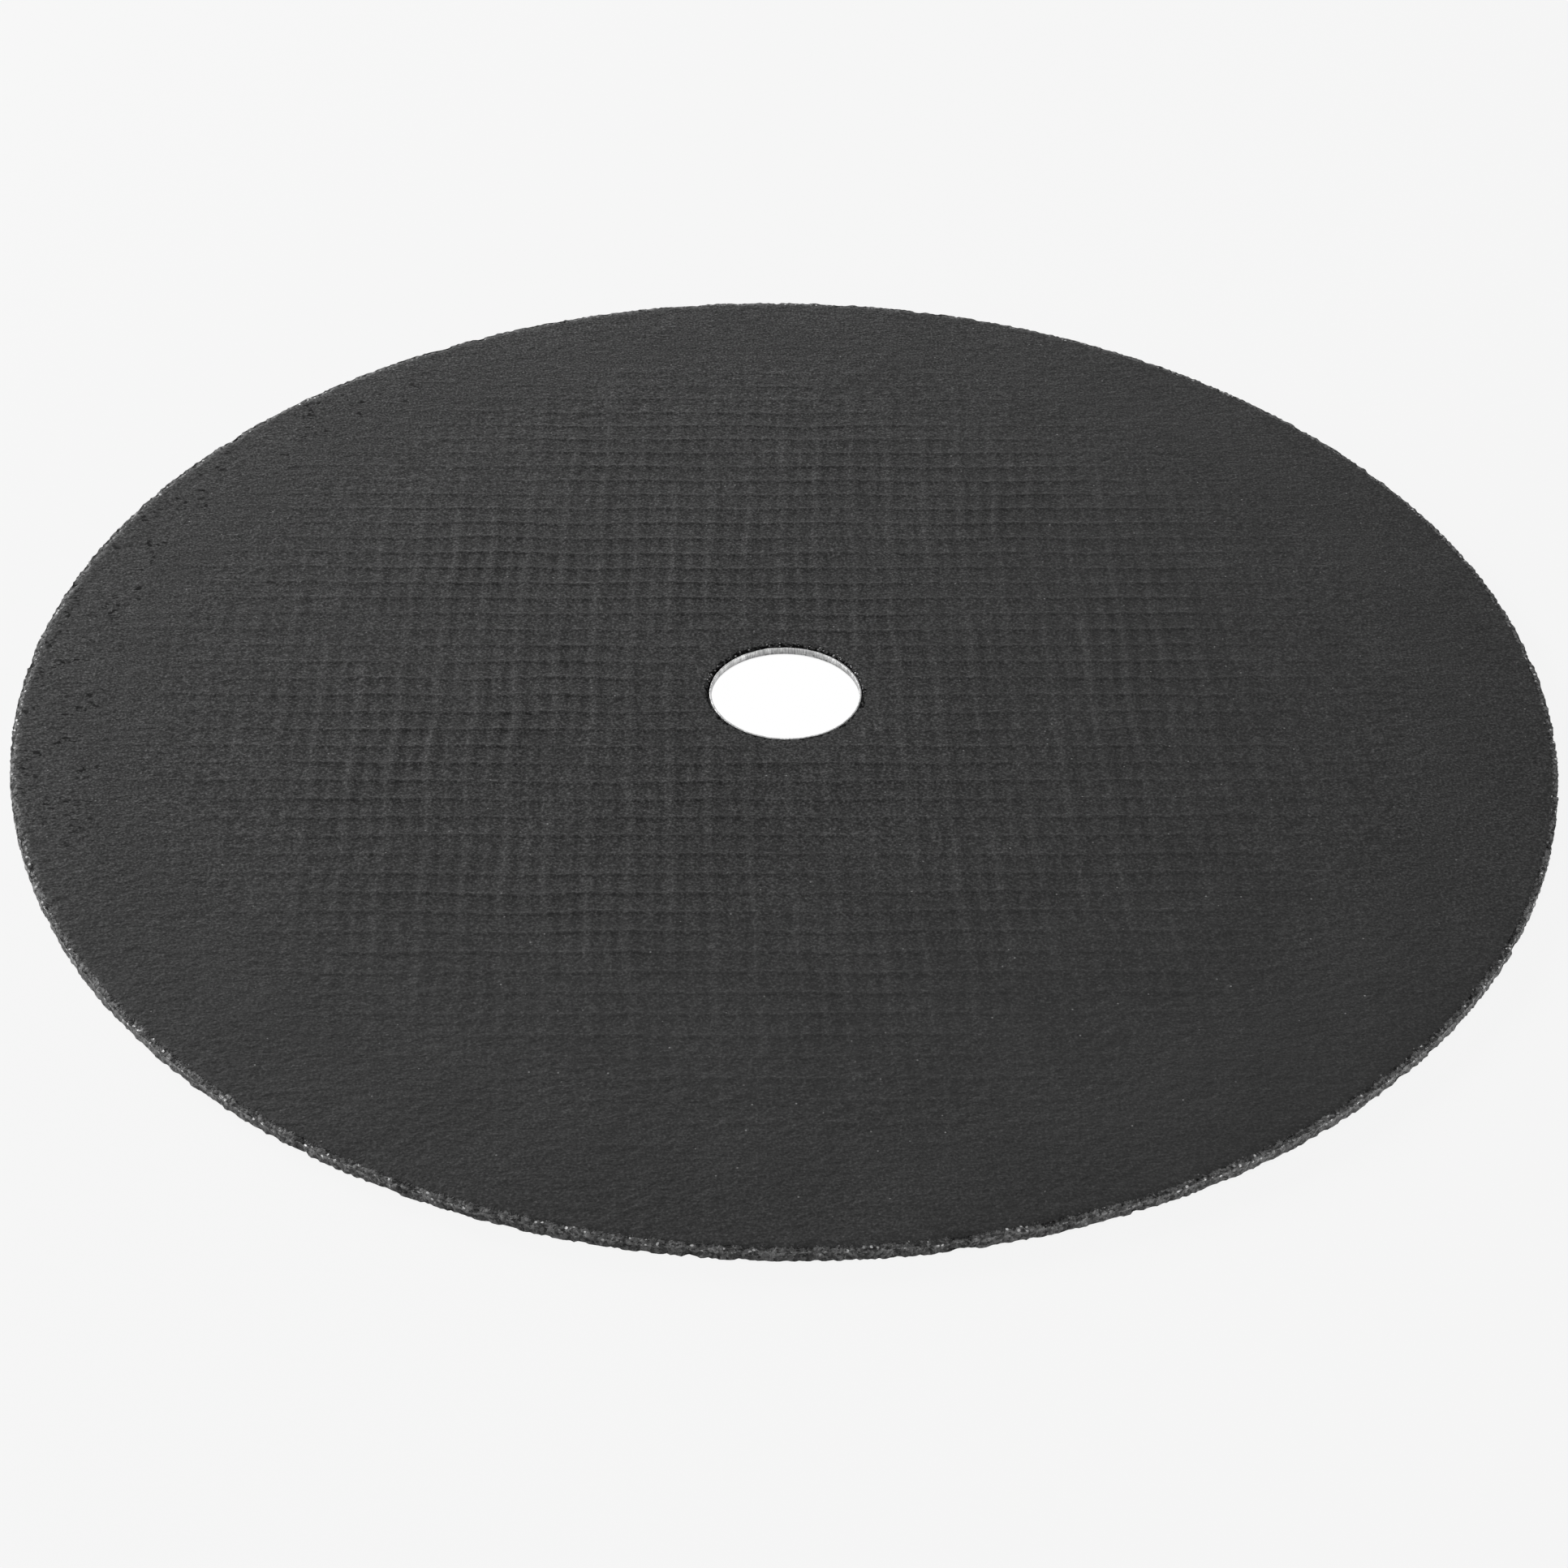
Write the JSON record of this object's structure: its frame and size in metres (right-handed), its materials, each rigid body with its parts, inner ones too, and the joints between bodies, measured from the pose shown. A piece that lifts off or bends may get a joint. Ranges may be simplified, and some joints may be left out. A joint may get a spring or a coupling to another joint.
{
  "type": "cut-off wheel",
  "caption": "Thin flat reinforced abrasive disc with a pressed metal ring lining its central bore, for cutting metal or stone on an angle grinder.",
  "frame": {"origin": "on the bore's axis, in the plane of the underside that the wheel rests on", "axes": "+Z along the bore's axis and up out of the upper face, +X to the right and +Y away from the picture's viewer"},
  "size_m": [0.23, 0.23, 0.0019],
  "materials": {
    "abrasive": "fine dark grain in resin, matt, with the faint imprint of a woven mesh",
    "tinned_steel": "bright pressed sheet, finely scratched along the bore"
  },
  "bodies": {
    "root": {"abrasive_disc": "abrasive", "bore_ring": "tinned_steel"}
  },
  "joints": []
}
